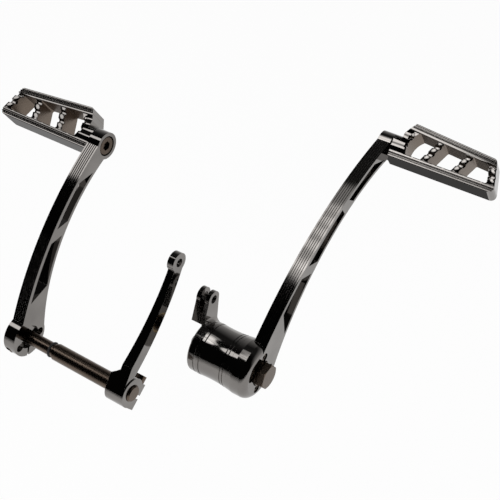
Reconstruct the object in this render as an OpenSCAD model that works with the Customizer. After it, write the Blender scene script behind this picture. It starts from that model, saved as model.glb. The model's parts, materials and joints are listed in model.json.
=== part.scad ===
// Motorcycle foot controls: a shift lever on its cross shaft and a brake pedal on its pivot hub.
// The brake pivot axis is X and points to the bike's right, Y points forward and Z points up.
// X is 0 at the brake hub's inner end.

/* [Layout] */
// How far left of the brake hub's inner end the shift arm's inner face lies
shift_left = 144.5; // [135:0.5:200]
// How far the shift shaft lies behind the brake pivot
shift_back = 72.3; // [20:0.1:120]
// How far the shift shaft lies below the brake pivot
shift_drop = 12.3; // [0:0.1:60]

/* [Arms] */
// Thickness of both pedal arms
arm_t = 12.7; // [11.5:0.1:15]
// Grooves along the rear edge of each arm
rib_count = 5; // [3:1:6]
// Width of one such groove
rib_w = 0.9; // [0.5:0.1:1.2]
// Depth of one such groove
rib_depth = 0.7; // [0.3:0.1:1.2]
// Metal left along the rear edge beside the arm windows
rear_rim = 3.6; // [2.5:0.1:5]
// Metal left along the front edge beside the arm windows
front_rim = 2.8; // [2:0.1:4]
// How much nearer the pivot a web is at its rear end, for each mm across the arm
window_slant = 1; // [0:0.1:1.2]
// Radius of both arms' upper bosses
pad_boss_r = 12.8; // [12:0.1:15]

/* [Brake arm] */
// How far ahead of the pivot the pad screw is
brake_reach = 224; // [200:1:240]
// How far above the pivot the pad screw is
brake_rise = 108; // [90:1:125]
// Radius of the arm's rear edge
brake_rear_r = 371; // [340:1:420]
// Radius of the arm's front edge
brake_front_r = 239; // [225:1:260]
// Greatest radius of the arm's boss on the hub
hub_boss_r = 26.4; // [25.8:0.1:27]
// Length of that boss across the bike
hub_boss_l = 20; // [16:0.5:26]
// Rounding of its outer edge
hub_boss_round = 7.6; // [2:0.1:8]

/* [Shift arm] */
// How far ahead of the shaft the pad screw is
shift_reach = 130; // [115:1:145]
// How far above the shaft the pad screw is
shift_rise = 137.5; // [120:0.5:150]
// Radius of the arm's rear edge
shift_rear_r = 322; // [290:1:360]
// Radius of the arm's front edge
shift_front_r = 192; // [180:1:215]
// Radius of the arm's clamp boss
clamp_boss_r = 19.7; // [19:0.1:23]
// Depth of the lobed recess around the shaft
clamp_recess = 5; // [1:0.1:5.2]

/* [Pads] */
// Length of a pad from its arm to its far lower corner
pad_l = 108; // [102:1:120]
// Height of a pad's face above the screw's axis
pad_over = 10.5; // [9:0.1:12]
// Depth of a pad below the screw's axis
pad_under = 12.5; // [9.5:0.1:14]
// How far the face reaches back from the screw
pad_back = 12.2; // [11.5:0.1:14]
// How far the face reaches forward at its arm end
pad_front = 26.1; // [24:0.1:28]
// How far the face reaches forward at its free end
pad_front_end = 18.9; // [17:0.1:22]
// Backward tilt of the shift pad's face
shift_pad_tilt = 32.9; // [20:0.1:45]
// Backward tilt of the brake pad's face
brake_pad_tilt = 35.4; // [20:0.1:45]
// Width of the pad's rails beside its windows
rail_w = 6.9; // [6:0.1:8]
// Width of the two cross bars
bar_w = 6.6; // [5.5:0.1:8]
// Place of the inner cross bar, from the arm
bar_at = 38; // [36:0.5:40]
// Distance between the two cross bars
bar_pitch = 30.6; // [28:0.1:32]
// Slant of the cross bars, for each mm across the pad
bar_slant = 0.39; // [0.2:0.01:0.45]
// Distance between the rows of teeth
tooth_pitch = 8.5; // [8:0.1:9]
// Width of the gap between two rows of teeth
tooth_gap = 4.2; // [3:0.1:5]
// Height of the teeth
tooth_h = 2.6; // [1.5:0.1:3]

/* [Pad fixings] */
// Radius of the pad screw's shank
pad_screw_r = 5; // [4:0.1:5.5]
// Radius of its head
pad_head_r = 9; // [8:0.1:9.2]
// Height of its head
pad_head_h = 5; // [4:0.1:5.2]
// Radius of the dowel that keeps a pad from turning
dowel_r = 1.5; // [1:0.1:1.6]
// Length of that dowel
dowel_l = 12; // [10:0.5:12]

/* [Brake hub] */
// Length of the hub across the bike
hub_l = 62.5; // [60:0.5:80]
// Least radius of the hub barrel
barrel_r = 24.3; // [23.5:0.1:25]
// Where the barrel is slimmest, from the hub's inner end
waist_at = 23.5; // [20:0.5:27]
// Radius of the long arc that flares the barrel from there
waist_arc = 140; // [130:1:400]
// Radius of the pivot bolt's shoulder
pivot_r = 8; // [7.5:0.05:8]
// Radial running clearance in the bushings
run_gap = 0.05; // [0.02:0.01:0.08]
// Wall of a bushing
bushing_wall = 2; // [1.5:0.1:2]
// Length of a bushing
bushing_l = 13; // [10:0.5:14]
// Depth of the lobed recess around the pivot bolt
hub_recess = 5; // [4.5:0.1:6]
// Screws that hold the arm on the barrel
hub_screw_count = 4; // [4:1:4]
// Distance from the pivot to those screws
hub_screw_at = 15.3; // [15.3:0.05:15.6]
// Direction of the first of them, from straight ahead
hub_screw_turn = 66; // [60:1:75]

/* [Brake lever] */
// Length of the clevis lever's ring across the bike
ring_l = 10; // [9:0.5:14]
// Radius of the ring
ring_r = 24.7; // [24:0.1:27]
// How far ahead of the pivot the clevis hole is
clevis_ahead = 16.2; // [12:0.1:17]
// How far above the pivot the clevis hole is
clevis_above = 43.7; // [40:0.1:52]
// Radius of the clevis hole
clevis_hole_r = 4; // [3:0.05:4.5]
// Radius of an ear's tip
ear_r = 7.8; // [7:0.1:9]
// Thickness of one ear
ear_t = 4; // [3.5:0.1:5]
// Gap between the ears
clevis_gap = 5.5; // [5:0.1:7]
// How deep the gap runs below the clevis hole's axis
clevis_depth = 9.2; // [8:0.1:11]
// Hollow rounding between the outer ear and the ring
foot_round = 6; // [4:0.1:7]
// How far the outer ear's face lies from the hub's inner end
ear_face = 2.5; // [2:0.1:4]

/* [Pivot bolt] */
// Width of the bolt's hexagon head across its flats
hex_af = 21; // [19:0.1:21.5]
// Height of the head
hex_h = 8; // [7:0.1:12]
// Radius of the collar under the head
collar_r = 11.2; // [10.5:0.1:11.3]
// Length of the collar
collar_l = 5.7; // [5.3:0.1:7]
// Radius of the bolt's thread
thread_r = 6.35; // [6:0.05:6.5]
// Length of thread beyond the hub
thread_l = 9; // [6:0.5:12]

/* [Shift shaft] */
// Radius of the shaft's thick part
shaft_r = 7.94; // [7.5:0.01:8.2]
// Radius of its thin end
shaft_thin_r = 6.35; // [6:0.01:6.5]
// How far from the shift arm's inner face the thick part starts
shoulder_at = 34; // [20:0.5:45]
// How far from the shift arm's inner face the rod lever's clamp starts
lever_at = 102; // [90:0.5:115]
// Radial clearance where a piece is clamped or pressed on another
fit_gap = 0.02; // [0.01:0.01:0.03]

/* [Rod lever] */
// Width of the lever's clamp across the bike
clamp_w = 19.5; // [17:0.5:24]
// Radius of the clamp
clamp_r = 13.9; // [13.5:0.1:16]
// Distance from the shaft's axis to the flat face of the clamp's ears
ear_flat = 14.5; // [14:0.1:16]
// Width of the slit between the clamp's ears
slit_w = 3.5; // [2:0.1:4]
// How far ahead of the shaft the rod eye is
eye_ahead = 76.4; // [70:0.1:82]
// How far above the shaft the rod eye is
eye_above = 94.6; // [88:0.1:100]
// Outer radius of the rod eye
eye_r = 9; // [8:0.1:10]
// Radius of the rod eye's hole
eye_hole_r = 4; // [3:0.05:4.5]
// Thickness of the lever at its eye
eye_t = 6.5; // [5:0.1:8]
// Width of the lever's blade
blade_w = 11.8; // [10:0.1:13]

/* [Hidden] */
$fn = 96;

black = [0.03, 0.03, 0.035];
chrome = [0.33, 0.32, 0.31];
bronze = [0.27, 0.22, 0.18];
rubber = [0.05, 0.05, 0.05];
brass = [0.62, 0.5, 0.28];

// Steps for one rounded corner of an outline
arc_steps = 5;
// Reach of the tools that clip and cut
far = 60;
// Overshoot of a cut beyond the face that it opens
over = 1;

// Arms
window_web = 14;
// Ends of the windows along each arm
brake_low = 42;
brake_low_slant = 0.36;
brake_long = 70.5;
brake_short = 49.5;
brake_web_1 = brake_low + brake_long;
brake_web_2 = brake_web_1 + brake_short;
shift_low = 58.5;
shift_low_slant = 1.6;
shift_long = 53.5;
shift_web = shift_low + shift_long;
brake_stop = pad_boss_r + 1.1;
shift_stop = pad_boss_r + 9.4;
rib_pitch = arm_t / (rib_count + 1);
// How far outside the two boss centres the edges of the arms pass
boss_rear = 10.8;
boss_front = 7.8;
brake_hub_rear = 11.7;
brake_hub_front = 24;
shift_hub_rear = 12.4;
// How deep an arm's front edge runs into the lower boss before it ends
edge_bite = 0.6;
// How deep a rounding bites into the two faces that it joins
corner_bite = 0.05;
// Radial depth of the grooves around the hub barrel
groove_depth = 0.7;

// Brake hub
barrel_l = hub_l - hub_boss_l;
bushing_r = pivot_r + run_gap + bushing_wall;
floor_x = hub_l - hub_recess;
recess_r = collar_r + 0.8;
hub_screw_r = 2;
hub_head_r = 3.5;
hub_head_h = 4;
lobe_r = hub_head_r + 0.8;
hub_screw_l = 25;
hub_dowel_r = 2;
hub_dowel_l = 12;
end_play = 0.3;
spigot_r = 18;
ring_round = 2.5;
// How deep the ear's hollow rounding runs into the faces that it joins
foot_bite = 0.5;
collar_x = floor_x + end_play;
hex_x = collar_x + collar_l;
shoulder_x = 0;

// Shift side
lobe_at = 13.5;
shift_lobe_r = 4;
pinch_turn = -108;
pinch_at = 12;
pinch_r = 2;
pinch_head_r = 3.4;
pinch_head_h = 4;
pinch_x = -(arm_t + clamp_recess) / 2;
arm_slit_w = 2.2;
shaft_end_x = lever_at + clamp_w + 2;
lever_screw_r = 3;
lever_head_r = 5.5;
lever_head_h = 6.5;
lever_screw_at = 9.5;
ear_turn = -55.6;
ear_back = clamp_r - 0.4;
ear_top = 11.1;
slit_mid = (ear_top - ear_back) / 2;
lever_screw_x = lever_at + clamp_w / 2 + 4;
lever_face = lever_at + clamp_w - 1;
o_ring_at = shoulder_at - 5;
o_ring_r = 1.2;
blade_centre = [-118, 216];
blade_bite = 1.4;
blade_root = clamp_r + 10;

function unit(v) = v / norm(v);

// Points of a rounded corner at q, between its neighbours p and s
function corner(p, q, s, r) =
    let(a = unit(p - q), b = unit(s - q), half = acos(a * b) / 2,
        c = q + unit(a + b) * r / sin(half),
        v0 = q + a * r / tan(half) - c, v1 = q + b * r / tan(half) - c,
        a0 = atan2(v0[1], v0[0]), raw = atan2(v1[1], v1[0]) - a0,
        turn = raw > 180 ? raw - 360 : raw < -180 ? raw + 360 : raw)
    [for (i = [0:arc_steps]) c + r * [cos(a0 + turn * i / arc_steps), sin(a0 + turn * i / arc_steps)]];

function rounded(pts, r) =
    [for (i = [0:len(pts) - 1])
        each corner(pts[(i + len(pts) - 1) % len(pts)], pts[i], pts[(i + 1) % len(pts)], r)];

// Centre of an arc that passes ra from the pivot and rb from the point [y, z], on the lower side
function arc_centre(y, z, ra, rb) =
    let(d = norm([y, z]), a = (ra * ra - rb * rb + d * d) / (2 * d), h = sqrt(ra * ra - a * a))
    [(a * y + h * z) / d, (a * z - h * y) / d];

// Turns an outline drawn in Y and Z into a plate between x0 and x0 + t
module plate(x0, t) {
    translate([x0, 0, 0]) rotate([90, 0, 90]) linear_extrude(t) children();
}

// Turns a half section, radius against X, about the X axis
module turned() {
    rotate([0, 90, 0]) rotate_extrude() children();
}

// Takes the corner at radius r and place x off a half section. way is 1 at a right end, -1 at a left
module round_off(r, x, arc, way) {
    c = [r - arc + corner_bite, x - way * (arc - corner_bite)];
    difference() {
        translate([c[0], way > 0 ? c[1] : c[1] - arc - over]) square(arc + over);
        translate(c) circle(arc);
    }
}

// The long arc that slims the barrel and flares it into the arm's boss
module hub_waist() {
    translate([barrel_r + waist_arc, waist_at]) circle(waist_arc, $fn = 360);
}

function barrel_at(x) = barrel_r + waist_arc - sqrt(waist_arc * waist_arc - (x - waist_at) * (x - waist_at));

module rod_x(x0, x1, r) {
    translate([x0, 0, 0]) rotate([0, 90, 0]) cylinder(h = x1 - x0, r = r);
}

// The stretch of an arm between its two arcs, less a rim on each side
module arm_band(y, z, rear_r, rear_at, front_r, front_at, rear_in, front_in) {
    rear_c = arc_centre(y, z, rear_r - rear_at, rear_r - boss_rear);
    front_c = arc_centre(y, z, front_r + front_at, front_r + boss_front);
    start = front_at * (front_c * [y, z]) / norm(front_c) / norm([y, z]);
    intersection() {
        difference() {
            translate(rear_c) circle(rear_r - rear_in, $fn = 240);
            translate(front_c) circle(front_r + front_in, $fn = 240);
        }
        stretch(y, z, start, norm([y, z]), 0);
    }
}

// A slanted stretch along the line from the pivot to the boss
module stretch(y, z, s0, s1, slant) {
    rotate(atan2(z, y)) polygon([[s0 - slant * far, -far], [s1 - slant * far, -far],
        [s1 + slant * far, far], [s0 + slant * far, far]]);
}

// Grooves that follow an arm's rear edge
module edge_ribs(c, r, x0) {
    for (i = [1:rib_count])
        translate([x0 + i * rib_pitch - rib_w / 2, c[0], c[1]]) turned()
            translate([r - rib_depth, 0]) square([rib_depth + over, rib_w]);
}

module brake_outline(rear_in, front_in) {
    arm_band(brake_reach, brake_rise, brake_rear_r, brake_hub_rear,
        brake_front_r, brake_hub_front, rear_in, front_in);
}

module shift_outline(rear_in, front_in) {
    arm_band(shift_reach, shift_rise, shift_rear_r, shift_hub_rear,
        shift_front_r, clamp_boss_r - edge_bite, rear_in, front_in);
}

// One window between an arm's rims. Its two ends are lines across the arm. Each end has its
// distance from the pivot along the arm at the line of the bosses, and its slant
module window_ends(y, z, low, low_slant, high, high_slant) {
    intersection() {
        stretch(y, z, low, low + 3 * far, low_slant);
        stretch(y, z, high - 3 * far, high, high_slant);
    }
}

// Three windows, with webs of one slant between them
module brake_windows() {
    intersection() {
        brake_outline(rear_rim, front_rim);
        union() {
            window_ends(brake_reach, brake_rise, brake_low, brake_low_slant, brake_web_1,
                -window_slant);
            window_ends(brake_reach, brake_rise, brake_web_1 + window_web, -window_slant,
                brake_web_2, -window_slant / 10);
            window_ends(brake_reach, brake_rise, brake_web_2 + 1.6 * window_web,
                -window_slant / 2, norm([brake_reach, brake_rise]) - brake_stop, -window_slant);
        }
    }
}

module shift_windows() {
    intersection() {
        shift_outline(rear_rim, front_rim);
        union() {
            window_ends(shift_reach, shift_rise, shift_low, -shift_low_slant, shift_web,
                -window_slant);
            window_ends(shift_reach, shift_rise, shift_web + window_web, -window_slant,
                norm([shift_reach, shift_rise]) - shift_stop, -window_slant);
        }
    }
}

// The boss and holes that take a pad, as a plate cut or a plate
module pad_holes(x_head, way) {
    // way is 1 where the pad stands on the +X side
    head_x = way > 0 ? x_head : x_head - pad_head_h - 0.5;
    rod_x(head_x - (way > 0 ? over : 0), head_x + pad_head_h + 0.5 + (way > 0 ? 0 : over),
        pad_head_r + 0.6);
    rod_x(x_head - arm_t - over, x_head + arm_t + over, pad_screw_r + fit_gap);
}

dowel_y = -8.4;
// Length of a pad's neck beside its arm
neck_l = 8;
// Where the pad's front edge starts, and how far it ends short of the pad's full length
front_from = 14.8;
end_run = 10.3;
// Metal beyond the last window, and the rounding of the windows' corners
end_margin = 11.5;
window_corner_r = 1.6;

module brake_arm() {
    inner = hub_l - arm_t;
    color(black) difference() {
        union() {
            difference() {
                plate(inner, arm_t) brake_outline(0, 0);
                edge_ribs(arc_centre(brake_reach, brake_rise, brake_rear_r - brake_hub_rear,
                    brake_rear_r - boss_rear), brake_rear_r, inner);
            }
            translate([0, brake_reach, brake_rise]) rod_x(inner, hub_l, pad_boss_r);
            turned() difference() {
                translate([0, barrel_l]) square([hub_boss_r, hub_boss_l]);
                hub_waist();
                round_off(hub_boss_r, hub_l, hub_boss_round, 1);
            }
        }
        plate(inner - over, arm_t + 2 * over) brake_windows();
        rod_x(barrel_l - over, floor_x + over, bushing_r + fit_gap);
        rod_x(floor_x, hub_l + over, recess_r);
        for (i = [0:hub_screw_count - 1]) rotate([hub_screw_turn + i * 360 / hub_screw_count, 0, 0])
            translate([0, hub_screw_at, 0]) {
                rod_x(floor_x, hub_l + over, lobe_r);
                rod_x(barrel_l - over, floor_x + over, hub_screw_r + fit_gap);
            }
        hub_dowel_places() rod_x(barrel_l - over, barrel_l + hub_dowel_l / 2 + 0.2, hub_dowel_r + fit_gap);
        translate([0, brake_reach, brake_rise]) {
            pad_holes(inner, 1);
            rotate([brake_pad_tilt, 0, 0]) translate([0, dowel_y, 0])
                rod_x(hub_l - dowel_l / 2, hub_l + over, dowel_r + fit_gap);
        }
    }
}

module hub_dowel_places() {
    for (i = [0:1]) rotate([hub_screw_turn + 45 + i * 180, 0, 0]) translate([0, hub_screw_at, 0]) children();
}

module shift_arm() {
    color(black) translate([-shift_left, -shift_back, -shift_drop]) difference() {
        union() {
            difference() {
                plate(-arm_t, arm_t) shift_outline(0, 0);
                edge_ribs(arc_centre(shift_reach, shift_rise, shift_rear_r - shift_hub_rear,
                    shift_rear_r - boss_rear), shift_rear_r, -arm_t);
            }
            translate([0, shift_reach, shift_rise]) rod_x(-arm_t, 0, pad_boss_r);
            rod_x(-arm_t, 0, clamp_boss_r);
        }
        plate(-arm_t - over, arm_t + 2 * over) shift_windows();
        rod_x(-arm_t - over, over, shaft_thin_r + fit_gap);
        rod_x(-clamp_recess, over, lobe_at - 2);
        for (a = [-15, 195]) rotate([a, 0, 0]) translate([0, lobe_at, 0])
            rod_x(-clamp_recess, over, shift_lobe_r);
        rotate([pinch_turn, 0, 0]) {
            translate([-arm_t - over, shaft_thin_r - over, -arm_slit_w / 2])
                cube([arm_t + 2 * over, clamp_boss_r, arm_slit_w]);
            translate([pinch_x, pinch_at, -clamp_boss_r]) {
                cylinder(h = 2 * clamp_boss_r, r = pinch_r + fit_gap);
                cylinder(h = clamp_boss_r - 9, r = pinch_head_r + 0.1);
            }
        }
        translate([0, shift_reach, shift_rise]) {
            pad_holes(0, -1);
            rotate([shift_pad_tilt, 0, 0]) translate([0, dowel_y, 0])
                rod_x(-arm_t - over, -arm_t + dowel_l / 2, dowel_r + fit_gap);
        }
    }
}

// Outline of a pad's face: across from the arm, and forward from the screw's axis
module pad_outline() {
    polygon(concat(
        [[0, -pad_back], [0, 14], [neck_l, 14.4], [10.8, 19.4]],
        corner([10.8, 19.4], [front_from, pad_front], [pad_l - end_run, pad_front_end], 1.5),
        corner([front_from, pad_front], [pad_l - end_run, pad_front_end], [pad_l, -pad_back], 4),
        corner([pad_l - end_run, pad_front_end], [pad_l, -pad_back], [0, -pad_back], 5)));
}

front_slope = (pad_front_end - pad_front) / (pad_l - end_run - front_from);
function window_top(u) = pad_front + front_slope * (u - front_from) - rail_w;
window_low = rail_w - pad_back;
end_slope = -0.31;
window_end = pad_l - end_margin;

// Side lines of the windows, at a place w across the pad
function bar_left(i, w) = bar_at + i * bar_pitch + bar_slant * w - bar_w / 2;
function bar_right(i, w) = bar_left(i, w) + bar_w;

// Where a line across the pad, at u0 on the screw's line, meets the windows' front edge
function front_cross(u0, slant) =
    let(w = window_top(u0) / (1 - front_slope * slant)) [u0 + slant * w, w];

module pad_window(i) {
    if (i == 0)
        intersection() {
            polygon([[12, window_low], [bar_left(0, window_low), window_low],
                front_cross(bar_left(0, 0), bar_slant), [12, window_top(12)]]);
            translate([36.2, 3.5]) circle(20.5);
        }
    if (i == 1)
        polygon(rounded([[bar_right(0, window_low), window_low],
            [bar_left(1, window_low), window_low],
            front_cross(bar_left(1, 0), bar_slant), front_cross(bar_right(0, 0), bar_slant)],
            window_corner_r));
    if (i == 2)
        polygon(rounded([[bar_right(1, window_low), window_low],
            [window_end + end_slope * window_low, window_low],
            front_cross(window_end, end_slope), front_cross(bar_right(1, 0), bar_slant)],
            window_corner_r));
}

// A groove along the pad, with sloping sides
module pad_groove(w, wide, deep) {
    plate(-over, pad_l + 2 * over) polygon([[w - wide / 2 - 0.2, pad_over + 0.2],
        [w + wide / 2 + 0.2, pad_over + 0.2], [w + wide / 5, pad_over - deep], [w - wide / 5, pad_over - deep]]);
}

module pad() {
    depth = pad_over + pad_under;
    difference() {
        translate([0, 0, -pad_under]) linear_extrude(depth) pad_outline();
        translate([0, 0, -pad_under - over]) linear_extrude(depth + 2 * over)
            for (i = [0:2]) pad_window(i);
        for (i = [0:1]) translate([14, 0, 0]) pad_groove(2.7 + i * tooth_pitch, tooth_gap, tooth_h);
        for (w = [-10.2, -7.9]) pad_groove(w, 1.1, 0.9);
        for (w = [-1.8, -4.1]) translate([front_from, pad_front, 0])
            rotate([0, 0, atan(front_slope)]) translate([0, w, 0]) pad_groove(0, 1.1, 0.9);
        // The neck is round about the screw's axis on its front half
        difference() {
            translate([-over, 0, -far]) cube([neck_l + over, far, 2 * far]);
            rod_x(-2 * over, neck_l + 2 * over, pad_boss_r);
        }
        rod_x(-over, 12.8, pad_screw_r + fit_gap);
        translate([0, dowel_y, 0]) rod_x(-over, dowel_l / 2, dowel_r + fit_gap);
    }
}

module at_brake_pad() {
    translate([hub_l, brake_reach, brake_rise]) rotate([brake_pad_tilt, 0, 0]) children();
}

module at_shift_pad() {
    translate([-shift_left - arm_t, shift_reach - shift_back, shift_rise - shift_drop])
        rotate([shift_pad_tilt, 0, 0]) mirror([1, 0, 0]) children();
}

// The screw's head lies in the arm, and X = 0 is the arm's face under the pad
module pad_screw() {
    head_x = -arm_t + 0.5;
    difference() {
        union() {
            turned() polygon([[0, head_x], [pad_head_r - 0.8, head_x], [pad_head_r, head_x + 0.8],
                [pad_head_r, head_x + pad_head_h], [0, head_x + pad_head_h]]);
            rod_x(head_x + pad_head_h - 0.5, 12, pad_screw_r);
        }
        rotate([0, 90, 0]) translate([0, 0, head_x - over]) cylinder(h = over + 3, r = 4.6, $fn = 6);
    }
}

module shift_pad() { color(black) at_shift_pad() pad(); }
module brake_pad() { color(black) at_brake_pad() pad(); }
module shift_pad_screw() { color(bronze) at_shift_pad() pad_screw(); }
module brake_pad_screw() { color(bronze) at_brake_pad() pad_screw(); }

module pad_dowel() {
    translate([0, dowel_y, 0]) rod_x(-dowel_l / 2 + 0.2, dowel_l / 2 - 0.2, dowel_r);
}

module shift_pad_dowel() { color(chrome) at_shift_pad() pad_dowel(); }
module brake_pad_dowel() { color(chrome) at_brake_pad() pad_dowel(); }

module hub_barrel() {
    color(black) difference() {
        union() {
            turned() difference() {
                translate([0, ring_l]) square([hub_boss_r, barrel_l - ring_l]);
                hub_waist();
            }
            rod_x(0, ring_l + over, spigot_r);
        }
        rod_x(-over, barrel_l + over, bushing_r + fit_gap);
        rod_x(bushing_l + 1, barrel_l + over, bushing_r + 1);
        for (x = [ring_l + 2.5, barrel_l - 4.5, barrel_l - 7.5]) translate([x, 0, 0]) turned()
            translate([barrel_at(x) - groove_depth, 0]) square([far, 0.9]);
        for (i = [0:hub_screw_count - 1]) rotate([hub_screw_turn + i * 360 / hub_screw_count, 0, 0])
            translate([0, hub_screw_at, 0])
                rod_x(floor_x - hub_screw_l - 1, barrel_l + over, hub_screw_r + fit_gap);
        hub_dowel_places() rod_x(barrel_l - hub_dowel_l / 2 - 0.2, barrel_l + over, hub_dowel_r + fit_gap);
        rotate([-100, 0, 0]) translate([ring_l / 2, spigot_r - 1, 0]) rotate([-90, 0, 0])
            cylinder(h = 3, r = 2 + fit_gap);
    }
}

module socket_screw(head_r, head_h, shank_r, l, af) {
    // Stands along +X: the head above X = 0 and the shank below it
    difference() {
        union() {
            rod_x(0, head_h, head_r);
            rod_x(-l, 0.2, shank_r);
        }
        rotate([0, 90, 0]) translate([0, 0, head_h * 0.45]) cylinder(h = head_h, r = af / sqrt(3), $fn = 6);
    }
}

module hub_screws() {
    color(bronze) for (i = [0:hub_screw_count - 1])
        rotate([hub_screw_turn + i * 360 / hub_screw_count, 0, 0])
            translate([floor_x, hub_screw_at, 0])
                socket_screw(hub_head_r, hub_head_h, hub_screw_r, hub_screw_l, 3);
}

module hub_dowels() {
    color(chrome) hub_dowel_places() rod_x(barrel_l - hub_dowel_l / 2, barrel_l + hub_dowel_l / 2, hub_dowel_r);
}

module bushing(x0) {
    color(brass) difference() {
        rod_x(x0, x0 + bushing_l, bushing_r);
        rod_x(x0 - over, x0 + bushing_l + over, pivot_r + run_gap);
    }
}

module hub_bushing_inner() { bushing(0.5); }
module hub_bushing_outer() { bushing(floor_x - bushing_l - 0.5); }

// One ear's outline, down to the ring
module ear_outline() {
    translate([clevis_ahead, clevis_above]) circle(ear_r);
    polygon([[clevis_ahead - ear_r, clevis_above], [-1, ring_r - 2.7], [ring_r - 5.5, 12],
        [clevis_ahead + ear_r, clevis_above]]);
}

// Half section of the hollow rounding that joins the outer ear to the ring
module foot_section() {
    out = ring_r + foot_round - foot_bite;
    difference() {
        translate([spigot_r + 1, ear_face - 1]) square([out - spigot_r - 1, foot_round]);
        translate([out, ear_face + foot_round - foot_bite]) circle(foot_round);
    }
}

module clevis_lever() {
    inner = ear_face - 2 * ear_t - clevis_gap;
    color(black) difference() {
        union() {
            turned() difference() {
                translate([spigot_r + fit_gap, 0]) square([ring_r - spigot_r - fit_gap, ring_l]);
                round_off(ring_r, 0, ring_round, -1);
                round_off(ring_r, ring_l, 0.5, 1);
            }
            intersection() {
                turned() foot_section();
                plate(ear_face - 2, 2 * foot_round) ear_outline();
            }
            difference() {
                plate(inner, ear_face - inner) ear_outline();
                translate([inner + ear_t, -far, clevis_above - clevis_depth]) cube([clevis_gap, 2 * far, far]);
                rod_x(inner - over, 0, ring_r - 0.2);
                rod_x(-over, ear_face + over, spigot_r + 1);
            }
        }
        translate([0, clevis_ahead, clevis_above]) rod_x(inner - over, ear_face + over, clevis_hole_r);
        translate([ring_l - 3, 0, 0]) turned() translate([ring_r - 0.6, 0]) square([2, 0.9]);
        rotate([-100, 0, 0]) translate([ring_l / 2, spigot_r - 1, 0]) rotate([-90, 0, 0])
            cylinder(h = ring_r, r = 2 + fit_gap);
    }
}

module clevis_grub_screw() {
    color(bronze) rotate([-100, 0, 0]) translate([ring_l / 2, spigot_r - 0.8, 0]) rotate([-90, 0, 0])
        difference() {
            cylinder(h = ring_r - spigot_r, r = 2);
            translate([0, 0, ring_r - spigot_r - 2]) cylinder(h = 3, r = 1.2, $fn = 6);
        }
}

module pivot_bolt() {
    color(bronze) difference() {
        union() {
            rod_x(shoulder_x, hex_x + 0.2, pivot_r);
            turned() polygon([[0, -thread_l], [thread_r - 1, -thread_l], [thread_r, 1 - thread_l],
                [thread_r, shoulder_x + 0.2], [0, shoulder_x + 0.2]]);
            intersection() {
                rotate([6, 0, 0]) rotate([0, 90, 0]) rotate([0, 0, 90]) translate([0, 0, hex_x])
                    cylinder(h = hex_h, r = hex_af / sqrt(3), $fn = 6);
                turned() polygon([[0, hex_x], [hex_af * 0.62, hex_x], [hex_af * 0.62, hex_x + hex_h - 1.2],
                    [hex_af * 0.5, hex_x + hex_h], [0, hex_x + hex_h]]);
            }
        }
    }
}

module pivot_collar() {
    color(bronze) difference() {
        rod_x(collar_x, hex_x, collar_r);
        rod_x(collar_x - over, hex_x + over, pivot_r + fit_gap);
    }
}

module on_shift() {
    translate([-shift_left, -shift_back, -shift_drop]) children();
}

module arm_pinch_screw() {
    color(bronze) on_shift() rotate([pinch_turn, 0, 0]) translate([pinch_x, pinch_at, 0])
        difference() {
            union() {
                translate([0, 0, -9 - pinch_head_h]) cylinder(h = pinch_head_h, r = pinch_head_r);
                translate([0, 0, -9.2]) cylinder(h = 21, r = pinch_r);
            }
            translate([0, 0, -9 - pinch_head_h - over]) cylinder(h = over + 2, r = 1.7, $fn = 6);
        }
}

module shift_shaft() {
    color(bronze) on_shift() difference() {
        turned() polygon([[0, -arm_t], [shaft_thin_r - 0.8, -arm_t], [shaft_thin_r, 0.8 - arm_t],
            [shaft_thin_r, shoulder_at - 1.6], [shaft_r, shoulder_at],
            [shaft_r, shaft_end_x - 1.2], [shaft_r - 1.2, shaft_end_x], [0, shaft_end_x]]);
        // Groove for the o-ring, and the groove that the lever's pinch screw locks in
        translate([o_ring_at, 0, 0]) turned() translate([shaft_thin_r, 0]) circle(o_ring_r, $fn = 32);
        translate([lever_screw_x, 0, 0]) turned() translate([lever_screw_at, 0])
            circle(lever_screw_r + 0.3, $fn = 48);
    }
}

module shaft_o_ring() {
    color(rubber) on_shift() translate([o_ring_at, 0, 0]) turned()
        translate([shaft_thin_r + fit_gap, 0]) circle(o_ring_r - 2 * fit_gap, $fn = 32);
}

// Puts the children square with the clamp's ears: X' outwards to the flat, Y' to the screw's head
module lever_clamp_frame() {
    rotate([ear_turn, 0, 0]) children();
}

// Distance of an edge of the blade from the line to the eye, s along that line
function blade_edge(r, s) =
    let(d = unit([eye_ahead, eye_above]), c = blade_centre)
    c * [-d[1], d[0]] - sqrt(r * r - (s - c * d) * (s - c * d));

// The blade's outline; its front edge is an arc that bends towards the eye
module blade_outline() {
    outer_r = norm([eye_ahead, eye_above] - blade_centre) + eye_r - blade_bite;
    intersection() {
        difference() {
            translate(blade_centre) circle(outer_r, $fn = 240);
            translate(blade_centre) circle(outer_r - blade_w, $fn = 240);
        }
        stretch(eye_ahead, eye_above, blade_root - 0.5, norm([eye_ahead, eye_above]), 0);
    }
    intersection() {
        translate(blade_centre) circle(outer_r, $fn = 240);
        rotate(atan2(eye_above, eye_ahead)) polygon([[0, 0], [0, clamp_r - 0.3],
            [blade_root, blade_edge(outer_r - blade_w, blade_root)], [blade_root, -4]]);
    }
}

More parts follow.
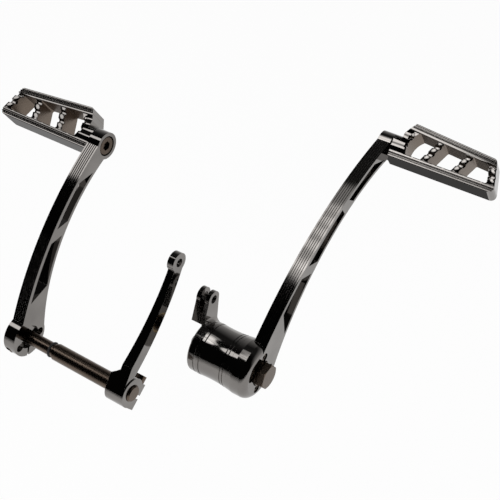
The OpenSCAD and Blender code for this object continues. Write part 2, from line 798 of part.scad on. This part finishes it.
module rod_lever() {
    chord = norm([eye_ahead, eye_above]);
    color(black) on_shift() difference() {
        union() {
            plate(lever_at, clamp_w) union() {
                circle(clamp_r);
                rotate(ear_turn) translate([0, -ear_back]) square([ear_flat, ear_back + ear_top]);
            }
            difference() {
                plate(lever_at, lever_face - lever_at) union() {
                    blade_outline();
                    translate([eye_ahead, eye_above]) circle(eye_r);
                }
                // The blade thins from the clamp towards the eye
                rotate([atan2(eye_above, eye_ahead), 0, 0]) translate([0, 0, -far])
                    linear_extrude(2 * far) polygon([[lever_at - over, clamp_r - 2],
                        [lever_face - 10.5, clamp_r + 4], [lever_face - eye_t, chord - 12],
                        [lever_face - eye_t, chord + 2 * eye_r], [lever_at - over, chord + 2 * eye_r]]);
            }
        }
        rod_x(lever_at - over, lever_at + clamp_w + over, shaft_r + fit_gap);
        translate([0, eye_ahead, eye_above]) rod_x(lever_at, lever_face + over, eye_hole_r);
        lever_clamp_frame() {
            translate([lever_at - over, shaft_r - over, slit_mid - slit_w / 2])
                cube([clamp_w + 2 * over, ear_flat, slit_w]);
            translate([lever_screw_x, lever_screw_at, -far])
                cylinder(h = 2 * far, r = lever_screw_r + fit_gap);
            translate([lever_screw_x, lever_screw_at, ear_top]) cylinder(h = 12, r = lever_head_r + 0.4);
        }
    }
}

module lever_pinch_screw() {
    color(bronze) on_shift() lever_clamp_frame() translate([lever_screw_x, lever_screw_at, ear_top])
        difference() {
            union() {
                cylinder(h = lever_head_h, r = lever_head_r);
                translate([0, 0, 0.2 - ear_top - ear_back]) cylinder(h = ear_top + ear_back, r = lever_screw_r);
            }
            translate([0, 0, lever_head_h - 3]) cylinder(h = 4, r = 2.9, $fn = 6);
        }
}

shift_arm();
shift_pad();
shift_pad_screw();
shift_pad_dowel();
arm_pinch_screw();
shift_shaft();
shaft_o_ring();
rod_lever();
lever_pinch_screw();
brake_arm();
brake_pad();
brake_pad_screw();
brake_pad_dowel();
hub_barrel();
hub_screws();
hub_dowels();
hub_bushing_inner();
hub_bushing_outer();
clevis_lever();
clevis_grub_screw();
pivot_bolt();
pivot_collar();
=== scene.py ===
# %% [markdown]
# # Motorcycle foot controls
# Two black chromed assemblies stand apart, as they would on a motorcycle: a shift lever on its
# cross shaft at the left, and a brake pedal on its pivot hub at the right. All the solid shapes
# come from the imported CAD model. This script gives them their finishes, and sets up the light and
# the camera. The front is the motorcycle's front, towards +Y, so the camera looks from the rear.

# %% Load the frame
import json
import math

import bpy
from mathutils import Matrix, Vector


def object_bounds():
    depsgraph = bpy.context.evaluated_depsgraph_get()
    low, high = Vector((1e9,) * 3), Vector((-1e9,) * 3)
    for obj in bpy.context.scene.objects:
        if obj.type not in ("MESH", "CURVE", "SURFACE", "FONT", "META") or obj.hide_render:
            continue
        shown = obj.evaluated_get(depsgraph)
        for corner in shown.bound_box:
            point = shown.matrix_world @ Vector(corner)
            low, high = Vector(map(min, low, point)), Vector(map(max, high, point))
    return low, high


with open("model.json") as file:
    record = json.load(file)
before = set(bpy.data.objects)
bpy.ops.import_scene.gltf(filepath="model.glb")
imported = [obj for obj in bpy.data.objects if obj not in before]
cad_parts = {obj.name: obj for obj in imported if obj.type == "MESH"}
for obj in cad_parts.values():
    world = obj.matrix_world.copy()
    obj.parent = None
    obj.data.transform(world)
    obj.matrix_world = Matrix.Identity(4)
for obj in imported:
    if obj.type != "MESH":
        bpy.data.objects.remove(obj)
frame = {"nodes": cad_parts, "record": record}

MM = 0.001
cad_box = [list(corner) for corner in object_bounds()]
nodes = frame["nodes"]
scene = bpy.context.scene
print("nodes:", len(nodes))
print("CAD box:", cad_box)

# %% [markdown]
# ## Camera
# The photograph looks down on the set from the right rear. A fairly long lens keeps the two arms
# nearly parallel. One could turn the camera by eye, but here the place and the lens were fitted to
# the pieces' straight and round edges, so the camera needs no shift.

# %% Camera
CAMERA_AT = Vector((0.3722, -0.4769, 0.6347))
AZIMUTH = math.radians(33.93)
ELEVATION = math.radians(40.93)
LENS_MM, SENSOR_MM = 70.07, 36
NEAREST, FARTHEST = 0.05, 20

bpy.ops.object.camera_add(
    location=CAMERA_AT, rotation=(math.pi / 2 - ELEVATION, 0, AZIMUTH)
)
camera = bpy.context.object
camera.name = "camera"
camera.data.lens = LENS_MM
camera.data.sensor_width = SENSOR_MM
camera.data.clip_start = NEAREST
camera.data.clip_end = FARTHEST
scene.camera = camera
scene.view_settings.view_transform = "Standard"
print("camera lens:", camera.data.lens)

# %% [markdown]
# ## Shader maths as plain expressions
# Finishes and light are built from nodes. Wiring each Math node by hand is long to read, so a small
# class wraps a node's socket, and each operator on it adds one Math node.

# %% Sockets that can be added and multiplied
class Wire:
    """One output socket in a node tree."""

    def __init__(self, tree, socket):
        self.tree = tree
        self.socket = socket

    def _math(self, operation, *values, clamp=False):
        made = self.tree.nodes.new("ShaderNodeMath")
        made.operation = operation
        made.use_clamp = clamp
        for socket, value in zip(made.inputs, values):
            plug(self.tree, socket, value)
        return Wire(self.tree, made.outputs[0])

    def __add__(self, other):
        return self._math("ADD", self, other)

    def __sub__(self, other):
        return self._math("SUBTRACT", self, other)

    def __rsub__(self, other):
        return self._math("SUBTRACT", other, self)

    def __mul__(self, other):
        return self._math("MULTIPLY", self, other)

    def clamped(self):
        return self._math("ADD", self, 0.0, clamp=True)

    def beside(self, name):
        """Another output of the same node."""
        return Wire(self.tree, self.socket.node.outputs[name])

    def crests(self, spacing):
        """A smooth wave along this value, with a crest at zero and at each spacing."""
        return self._math("COSINE", self * (2 * math.pi / spacing))


# %% [markdown]
# Every other node comes from one method, which takes the node's type, its settings and what goes
# into its sockets. Colour ramps, soft steps between two levels and the three parts of a place are
# used often, so each has a helper of its own.

# %% Shader trees
def plug(tree, socket, value):
    """Puts a number, a colour or a link into a socket."""
    if isinstance(value, Wire):
        tree.links.new(value.socket, socket)
    else:
        socket.default_value = value


class Shader:
    """A material's or world's node tree, with one method that makes any node."""

    def __init__(self, owner):
        owner.use_nodes = True
        self.tree = owner.node_tree
        self.tree.nodes.clear()

    def node(self, kind, settings=None, output=0, **inputs):
        """Makes a node. Each input is named by its socket, or i0, i1 and so on by its place."""
        made = self.tree.nodes.new("ShaderNode" + kind)
        for key, value in (settings or {}).items():
            if key == "stops":
                fill_ramp(made.color_ramp, value)
            else:
                setattr(made, key, value)
        for key, value in inputs.items():
            name = key.replace("_", " ")
            socket = made.inputs[int(name[1:]) if name[1:].isdigit() else name]
            plug(self.tree, socket, value)
        return Wire(self.tree, made.outputs[output]) if made.outputs else None


def fill_ramp(colours, stops):
    """Gives a colour ramp its stops: pairs of a place and a colour."""
    while len(colours.elements) > 1:
        colours.elements.remove(colours.elements[-1])
    colours.elements[0].position, colours.elements[0].color = stops[0]
    for place, colour in stops[1:]:
        colours.elements.new(place).color = colour


def grey(level):
    return (level, level, level, 1)


def ramp(tree, value, low, high, at_low, at_high, kind="SMOOTHSTEP"):
    """A level that runs from at_low to at_high while value runs from low to high."""
    return tree.node(
        "MapRange", {"interpolation_type": kind, "clamp": True},
        Value=value, From_Min=low, From_Max=high, To_Min=at_low, To_Max=at_high,
    )


def split(tree, space):
    """The x, y and z of one of the Texture Coordinate node's outputs."""
    x = tree.node("SeparateXYZ", Vector=tree.node("TexCoord", output=space))
    return x, x.beside("Y"), x.beside("Z")


# %% [markdown]
# ## Studio light
# Black chrome shows what stands around it and little else. In the photograph the floor and the
# right side are white, the sky above is dark, and a few long soft boxes draw the white streaks on
# the rear edges. Real lamps would do, but each shows in every mirror surface. So the world is a
# dark dome with soft boxes painted on it by direction, and the camera itself sees plain white.

# %% Directions in the world
world = bpy.data.worlds.new("studio")
scene.world = world
sky = Shader(world)
toward_x, toward_y, toward_z = split(sky, "Generated")


def soft_box(azimuth, elevation, wide, strength, fade):
    """A round soft box in one direction, as a level that fades out past its rim."""
    a, e = math.radians(azimuth), math.radians(elevation)
    aim = (-math.sin(a) * math.cos(e), math.cos(a) * math.cos(e), math.sin(e))
    along = toward_x * aim[0] + toward_y * aim[1] + toward_z * aim[2]
    inner = math.cos(math.radians(wide))
    rim = math.cos(math.radians(wide * (1 + fade)))
    return ramp(sky, along, rim, inner, 0.0, strength)


# %% [markdown]
# A row of overlapping soft boxes makes the band of light on the brake arm's rear edge. One lower
# box lights the shift pad and its arm, and one at the end of the row lights the brake pad. Towards
# the front the dome fades from white at the floor to dark above, and at the rear it turns dark just
# below the horizon.

# %% World
WHITE_LEVEL, DARK_FRONT, DARK_REAR = 0.85, 0.03, 0.004
# Each box has its azimuth, elevation and radius in degrees, its strength, and its fading rim as a
# share of the radius.
BAND_OF_BOXES = (
    (60, 68, 4.0, 0.8, 0.8),
    (76, 72, 4.5, 1.5, 0.35),
    (92, 72.5, 4.5, 1.8, 0.3),
    (107, 71, 4.5, 1.6, 0.3),
    (120, 67, 4.5, 1.5, 0.4),
)
SHIFT_LEVER_BOX = (113, 50, 6.5, 2.3, 0.4)
BRAKE_PAD_BOX = (136, 66, 5.0, 2.6, 0.4)

front = ramp(sky, toward_z, -0.3, 0.72, WHITE_LEVEL, DARK_FRONT, "LINEAR")
rear = ramp(sky, toward_z, -0.36, -0.24, WHITE_LEVEL, DARK_REAR)
frontward = ramp(sky, toward_y, -0.1, 0.35, 0.0, 1.0)
brightness = rear + (front - rear) * frontward
for box in BAND_OF_BOXES + (SHIFT_LEVER_BOX, BRAKE_PAD_BOX):
    brightness = brightness + soft_box(*box)
camera_ray = sky.node("LightPath", output="Is Camera Ray")
seen = sky.node("Background", Color=grey(1), Strength=1.0)
lit = sky.node("Background", Color=grey(1), Strength=brightness)
sky.node("OutputWorld", Surface=sky.node("MixShader", i0=camera_ray, i1=lit, i2=seen))
print("world nodes:", len(sky.tree.nodes))

# %% [markdown]
# ## Lamps and floor
# Two large area lamps give the soft key and fill light. They stay out of the reflections, where the
# painted soft boxes take their place.

# %% Lamps
def area_lamp(name, place, aim, size, power):
    bpy.ops.object.light_add(type="AREA", location=place)
    lamp = bpy.context.object
    lamp.name = name
    lamp.data.size = size
    lamp.data.energy = power
    lamp.visible_glossy = False
    lamp.rotation_euler = (Vector(aim) - Vector(place)).to_track_quat("-Z", "Y").to_euler()
    print(name, "at", place, "with", power, "W")


SET_CENTRE = Vector((-0.03, 0.03, 0.03))
area_lamp("key_lamp", (0.9, -0.5, 1.1), SET_CENTRE, size=0.7, power=14)
area_lamp("fill_lamp", (-1.0, -0.3, 1.0), SET_CENTRE, size=0.9, power=8)

# %% [markdown]
# The floor is a plain white sheet some way below the set. White paint alone would turn grey under
# soft light, so for the camera the sheet is nearly all glow, and a small share of matte paper keeps
# a faint soft shadow. In reflections the glow fades out below and behind the camera.

# %% Floor
FLOOR_DROP, FLOOR_SIZE = 0.16, 8
SEEN_GLOW, MIRRORED_GLOW = 0.96, 0.85
GLOW_FADES_OUT, GLOW_IS_FULL = -0.8, -0.4

low_z = cad_box[0][2] - FLOOR_DROP
bpy.ops.mesh.primitive_plane_add(size=FLOOR_SIZE, location=(0, 0, low_z))
floor = bpy.context.object
floor.name = "floor"
paper = bpy.data.materials.new("white_paper")
sheet = Shader(paper)
glow = sheet.node("Emission", Color=grey(1), Strength=1.0)
matte = sheet.node("BsdfDiffuse", Color=grey(0.8))
straight = sheet.node("LightPath", output="Is Camera Ray")
through = straight.beside("Is Transmission Ray")
mirrored = straight.beside("Is Glossy Ray")
forward = split(sheet, "Object")[1]
mirrored_glow = ramp(sheet, forward, GLOW_FADES_OUT, GLOW_IS_FULL, 0, MIRRORED_GLOW)
share = ((straight + through) * SEEN_GLOW + mirrored * mirrored_glow).clamped()
sheet.node("OutputMaterial", Surface=sheet.node("MixShader", i0=share, i1=matte, i2=glow))
floor.data.materials.append(paper)
print("floor at", low_z)


# %% [markdown]
# Two grey cards that glow faintly lie just over the floor and show only in reflections. They are
# painted shade: where the pads mirror the floor under the set, the cards stand in for the floor's
# shade there, so that the rear sides of the pads stay dark and their bright rims stand out.

# %% Painted shade cards
# A card seen only in reflections, glowing at the given level: painted shade of the floor under the
# set.
def painted_shade_card(name, place, size, level):
    bpy.ops.mesh.primitive_plane_add(size=size, location=place)
    card = bpy.context.object
    card.name = name
    board = bpy.data.materials.new(name)
    face = Shader(board)
    face.node("OutputMaterial", Surface=face.node("Emission", Color=grey(level), Strength=1.0))
    card.data.materials.append(board)
    card.visible_camera = False
    card.visible_diffuse = False
    card.visible_shadow = False
    print(name, "at", place)


# The glow levels below are painted shade, darker where the floor under the brake pad is more
# shaded.
card_z = low_z + 4 * MM
painted_shade_card("brake_side_shade_card", (0.01, 0.35, card_z), size=0.2, level=0.12)
painted_shade_card("shift_side_shade_card", (-0.48, 0.2, card_z), size=0.28, level=0.32)

# %% [markdown]
# ## Finishes
# The arms, pads and hub are polished and then plated in black chrome: dark, slightly warm, and
# mirror-like, with a faint grain left by the polishing. The shaft and the fasteners are satin, in a
# dark bronze tone. Both are plain metal that differs only in colour, roughness and grain, so one
# function makes them all. A Bevel node rounds the shading of sharp edges, because a plated edge
# always catches a thin line of light.

# %% Metal finish
CUT_TONE, CUT_ROUGHER = (0.17, 0.135, 0.108, 1), 0.28
DARKER, LIGHTER = 0.86, 1.1
CLOUDS_PER_METRE = 35.0
GRAIN_STRENGTH, GRAIN_DEPTH = 0.004, 0.1 * MM


def metal(name, colour, roughness, grain, grain_scale=900, edge=0.35, cut=None, crown=None):
    """edge is the bevel in mm, cut a mask of browner walls and crown the polished lands' height."""
    material = bpy.data.materials.new(name)
    s = Shader(material)
    place = s.node("TexCoord", output="Object")
    fine = s.node("TexNoise", Vector=place, Scale=grain_scale, Detail=4.0)
    broad = s.node("TexNoise", Vector=place, Scale=CLOUDS_PER_METRE, Detail=3.0)
    dark = tuple(c * DARKER for c in colour) + (1,)
    light = tuple(c * LIGHTER for c in colour) + (1,)
    tone = s.node("ValToRGB", {"stops": [(0.3, dark), (0.7, light)]}, Fac=broad)
    rough = fine * grain + broad * grain + (roughness - grain)
    if cut:
        mask = cut(s)
        tone = s.node("MixRGB", Fac=mask, Color1=tone, Color2=CUT_TONE)
        rough = rough + mask * CUT_ROUGHER
    soft_edge = s.node("Bevel", {"samples": 8}, Radius=edge * MM)
    bump = s.node(
        "Bump", Strength=GRAIN_STRENGTH, Distance=GRAIN_DEPTH, Height=fine, Normal=soft_edge
    )
    if crown:
        bump = s.node("Bump", Strength=1.0, Distance=1.0, Height=crown(s), Normal=bump)
    surface = s.node(
        "BsdfPrincipled", Base_Color=tone, Metallic=1.0, Roughness=rough, Normal=bump
    )
    s.node("OutputMaterial", Surface=surface)
    print(name, "has", len(s.tree.nodes), "nodes")
    return material


# %% [markdown]
# ## Places on the pads
# The walls of the pads' windows are matte and browner than the rest, and polishing has left the
# lands of the pads slightly crowned. A painted map would need unwrapped solids, so both are found
# by the direction of a face and by its place on the pad: u runs along the pad from its arm, and w
# across it, from the pad screw's axis.

# %% Along and across a pad
# Each pad has its screw's seat at the arm, its tilt in degrees and the way it points along X.
BRAKE_PAD = ((0.0625, 0.224, 0.108), 35.4, 1)
SHIFT_PAD = ((-0.1572, 0.0577, 0.1252), 32.9, -1)
WALL_FACING, LAND_FACING = 0.1, 0.35


def on_pad(s, origin, tilt, way):
    """Returns u, w and 1 on a face that looks up or down out of the pad, or 0 on a wall."""
    c, t = math.cos(math.radians(tilt)), math.sin(math.radians(tilt))
    x, y, z = (part - start for part, start in zip(split(s, "Object"), origin))
    _, forward, upward = split(s, "Normal")
    facing = upward * c - forward * t
    flat = ramp(s, facing * facing, WALL_FACING, LAND_FACING, 0.0, 1.0)
    return x * way, y * c + z * t, flat


# %% [markdown]
# The cutter leaves the walls of the windows rough, and the plating looks browner there. The walls
# are those faces that don't look out of the pad and lie between the ends and sides of the windows.
# The windows' front side follows the pad's taper, and their end slants.

# %% Window walls
WINDOWS_START, WINDOWS_END = 11 * MM, 99 * MM
WINDOWS_REAR, WINDOWS_FRONT = -6 * MM, 20.4 * MM
PAD_TAPER, END_SLANT = 0.087, 0.31


def window_walls(*pad):
    def mask(s):
        u, w, flat = on_pad(s, *pad)
        to_end, to_front = u + w * END_SLANT, w + u * PAD_TAPER
        return (
            (1 - flat)
            * ramp(s, u, WINDOWS_START, WINDOWS_START + MM, 0.0, 1.0)
            * ramp(s, to_end, WINDOWS_END, WINDOWS_END + MM, 1.0, 0.0)
            * ramp(s, w, WINDOWS_REAR, WINDOWS_REAR + 0.3 * MM, 0.0, 1.0)
            * ramp(s, to_front, WINDOWS_FRONT + MM, WINDOWS_FRONT + 2 * MM, 1.0, 0.0)
        )

    return mask


# %% [markdown]
# Polishing rounds the lands by less than a millimetre, so each shows thin bright lines where
# its slope mirrors something bright. The solids' lands are flat. So slight a curve could be cut
# into the mesh, but a height that feeds a Bump node is enough for it: waves across the two rails,
# and waves both ways on the slanted bars between the windows and on the end bar, where each tooth
# shows a bright spot.

# %% Polished lands
RAIL_WAVE, RAIL_CROWN = 10.4 * MM, 0.45 * MM
REAR_LAND, FRONT_SHIFT = -11.2 * MM, -1.2 * MM
TOOTH_PITCH, TOOTH_AT, TOOTH_CROWN = 8.5 * MM, 7.0 * MM, 0.1 * MM
BAR_PITCH, BAR_AT, BAR_SLANT, BAR_CROWN = 30.6 * MM, 38 * MM, 0.39, 0.8 * MM
END_BAR_AT = 102 * MM
PAST_SCREW, PAST_NECK = (14 * MM, 18 * MM), (22 * MM, 26 * MM)
TO_FRONT_RAIL, TO_END_BAR = (2 * MM, 8 * MM), (84 * MM, 88 * MM)


def polished_lands(*pad):
    def height(s):
        u, w, flat = on_pad(s, *pad)
        to_front = w + u * PAD_TAPER
        inner = (
            ramp(s, u, *PAST_SCREW, 0.0, 1.0)
            * ramp(s, w, WINDOWS_REAR, WINDOWS_REAR + MM, 0.0, 1.0)
            * ramp(s, to_front, WINDOWS_FRONT - MM, WINDOWS_FRONT, 1.0, 0.0)
        )
        in_front = ramp(s, w, *TO_FRONT_RAIL, 0.0, 1.0)
        rails = (w - REAR_LAND + in_front * (u * PAD_TAPER + FRONT_SHIFT)).crests(RAIL_WAVE)
        teeth = (w - TOOTH_AT).crests(TOOTH_PITCH)
        bars = (u - w * BAR_SLANT - BAR_AT).crests(BAR_PITCH)
        end_bar = (u + w * END_SLANT - END_BAR_AT).crests(BAR_PITCH)
        far = ramp(s, u, *TO_END_BAR, 0.0, 1.0)
        bars = bars * (1 - far) + end_bar * far
        bar_crown = ramp(s, u, *PAST_NECK, 0.0, BAR_CROWN)
        within = teeth * TOOTH_CROWN + bars * bar_crown
        return (rails * (1 - inner) * RAIL_CROWN + within * inner) * flat

    return height


# %% [markdown]
# ## The metals
# Black chrome has a low, slightly brown reflectance. The pads take the same metal with their own
# walls and lands, and the bushings' brass is porous, so its grain is coarse.

# %% Metals
CHROME = {"colour": (0.212, 0.2, 0.19), "roughness": 0.07, "grain": 0.01}


def pad_chrome(name, pad):
    return metal(name, **CHROME, edge=0.2, cut=window_walls(*pad), crown=polished_lands(*pad))


black_chrome = metal("black_chrome", **CHROME, edge=0.14)
brake_pad_chrome = pad_chrome("brake_pad_chrome", BRAKE_PAD)
shift_pad_chrome = pad_chrome("shift_pad_chrome", SHIFT_PAD)
bronze = metal("dark_bronze", (0.12, 0.092, 0.072), 0.26, grain=0.02, grain_scale=500, edge=0.15)
ground_steel = metal("ground_steel", (0.5, 0.49, 0.47), 0.3, grain=0.04)
sintered_brass = metal("sintered_brass", (0.52, 0.4, 0.22), 0.45, grain=0.08, grain_scale=2500)

# %% [markdown]
# The shaft's o-ring is dull black rubber. It is dark but never quite black, and dust in its surface
# gives a slight speckle.

# %% Rubber
DUSTY_SPECKS_PER_METRE, DUST_DEPTH = 700.0, 0.3 * MM


def rubber_finish(name):
    material = bpy.data.materials.new(name)
    s = Shader(material)
    place = s.node("TexCoord", output="Object")
    dust = s.node("TexNoise", Vector=place, Scale=DUSTY_SPECKS_PER_METRE, Detail=5.0)
    tone = s.node("ValToRGB", {"stops": [(0.35, grey(0.012)), (0.8, grey(0.035))]}, Fac=dust)
    bump = s.node("Bump", Strength=0.15, Distance=DUST_DEPTH, Height=dust)
    surface = s.node("BsdfPrincipled", Base_Color=tone, Roughness=dust * 0.2 + 0.5, Normal=bump)
    s.node("OutputMaterial", Surface=surface)
    print(name, "has", len(s.tree.nodes), "nodes")
    return material


black_rubber = rubber_finish("black_rubber")

# %% [markdown]
# ## Give each node its finish
# The record names a finish for every node, so the script reads it from there instead of listing
# the nodes again. Only the pads take a finish of their own.

# %% Give each node its finish
FINISHES = {
    "black": black_chrome,
    "bronze": bronze,
    "steel": ground_steel,
    "rubber": black_rubber,
    "brass": sintered_brass,
}
OWN_FINISH = {"brake_pad": brake_pad_chrome, "shift_pad": shift_pad_chrome}
slot_of = {part["node"]: part["material_slot"] for part in frame["record"]["subparts"]}
for name, piece in nodes.items():
    finish = OWN_FINISH.get(name, FINISHES[slot_of[name]])
    for slot in piece.material_slots:
        slot.material = finish
    if not piece.material_slots:
        piece.data.materials.append(finish)
print("finishes given to", len(nodes), "nodes")
